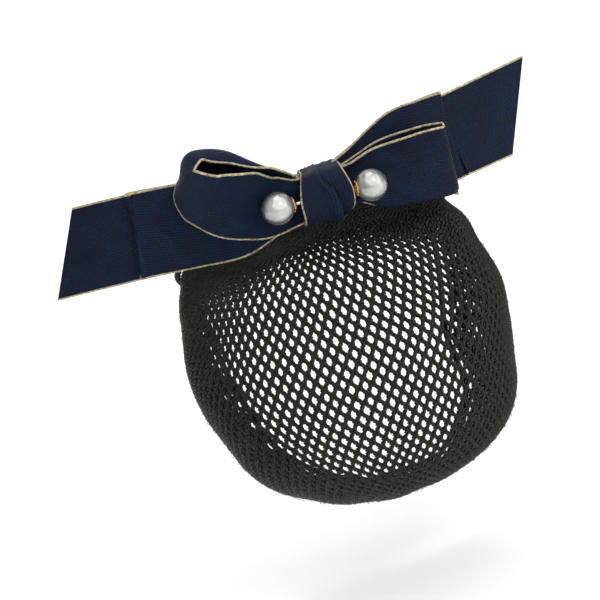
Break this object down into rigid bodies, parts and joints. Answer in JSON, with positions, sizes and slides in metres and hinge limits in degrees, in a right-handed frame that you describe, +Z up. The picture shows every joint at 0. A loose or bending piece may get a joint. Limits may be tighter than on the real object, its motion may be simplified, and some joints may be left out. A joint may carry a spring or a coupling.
{
  "type": "bow barrette with a crochet snood net",
  "caption": "Ribbon bow on a hair clip with a knot, a pearl-ended pin and an open crochet net bag hanging below it to hold a bun.",
  "frame": {"origin": "middle of the clip plate, on the side that lies against the hair", "axes": "+X along the bow to the wearer's right as seen from behind, +Y into the head, +Z up; the face that is seen is -Y"},
  "size_m": [0.1675, 0.0547, 0.1358],
  "materials": {
    "clip_steel": "plain nickel-plated spring steel",
    "net_yarn": "black crochet cotton and covered elastic",
    "ribbon": "navy ribbed ribbon with a cream and gold cord along each edge",
    "pin_wire": "bright wire",
    "pearl": "nacre-coated bead",
    "gilt": "gilt cup"
  },
  "bodies": {
    "root": {"clip": "clip_steel", "net": "net_yarn", "rim_elastic": "net_yarn", "tail_ribbon": "ribbon", "under_loops": "ribbon", "front_loops": "ribbon", "knot": "ribbon", "pin": "pin_wire", "pearl_left": "pearl", "pearl_right": "pearl", "cap_left": "gilt", "cap_right": "gilt"}
  },
  "joints": []
}
